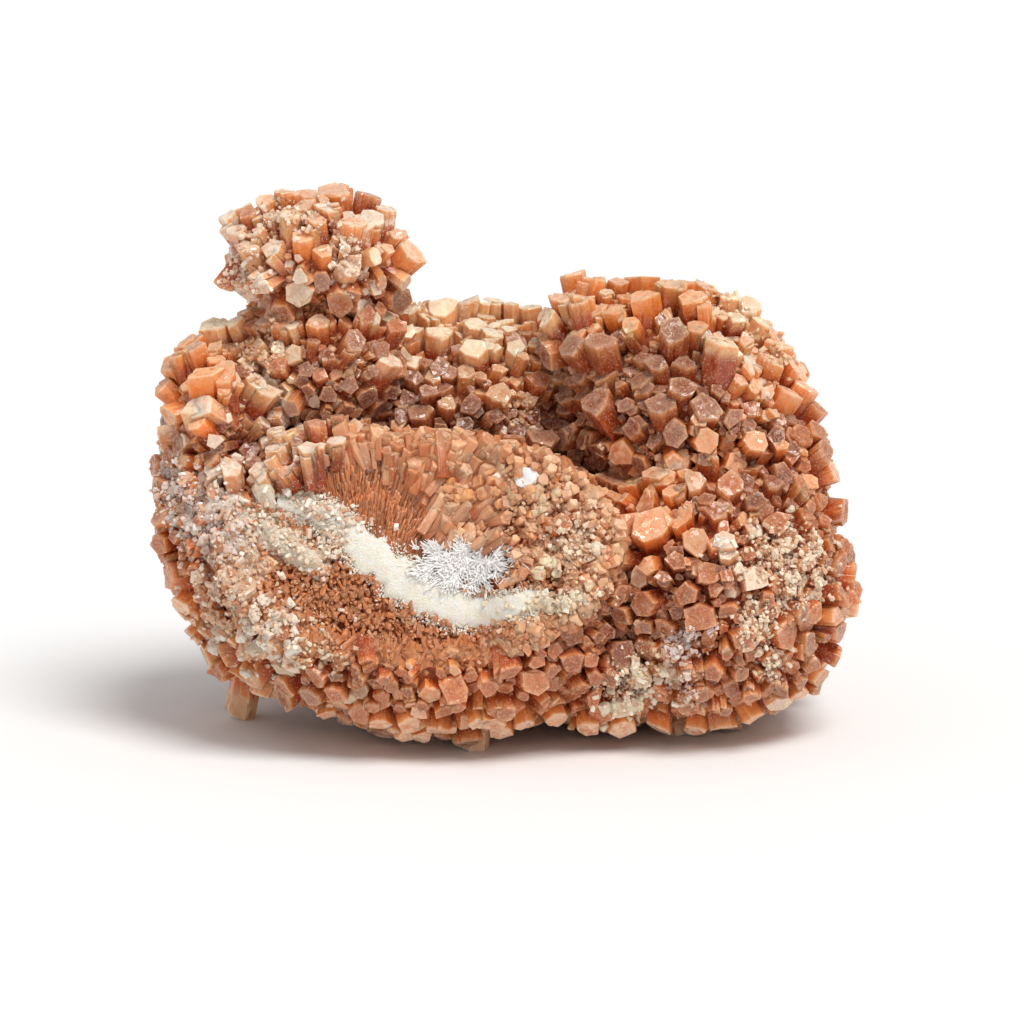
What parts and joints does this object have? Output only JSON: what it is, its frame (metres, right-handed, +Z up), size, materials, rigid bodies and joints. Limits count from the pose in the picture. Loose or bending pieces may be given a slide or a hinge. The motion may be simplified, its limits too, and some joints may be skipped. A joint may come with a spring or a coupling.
{
  "type": "aragonite crystal cluster",
  "caption": "Natural cluster of stubby six-sided aragonite crystals on rounded lobes, with a knob at one end and a broken scar in front that shows a pale seam.",
  "frame": {"origin": "middle of the bounding box in plan, on the resting plane", "axes": "+Z up, +X to the viewer's right along the longest side, -Y the front with the broken scar"},
  "size_m": [0.117, 0.0766, 0.09],
  "materials": {
    "aragonite": "satin, cloudy crystal faces, orange-brown at the roots and paler at the caps"
  },
  "bodies": {
    "root": {"aragonite_cluster": "aragonite"}
  },
  "joints": []
}
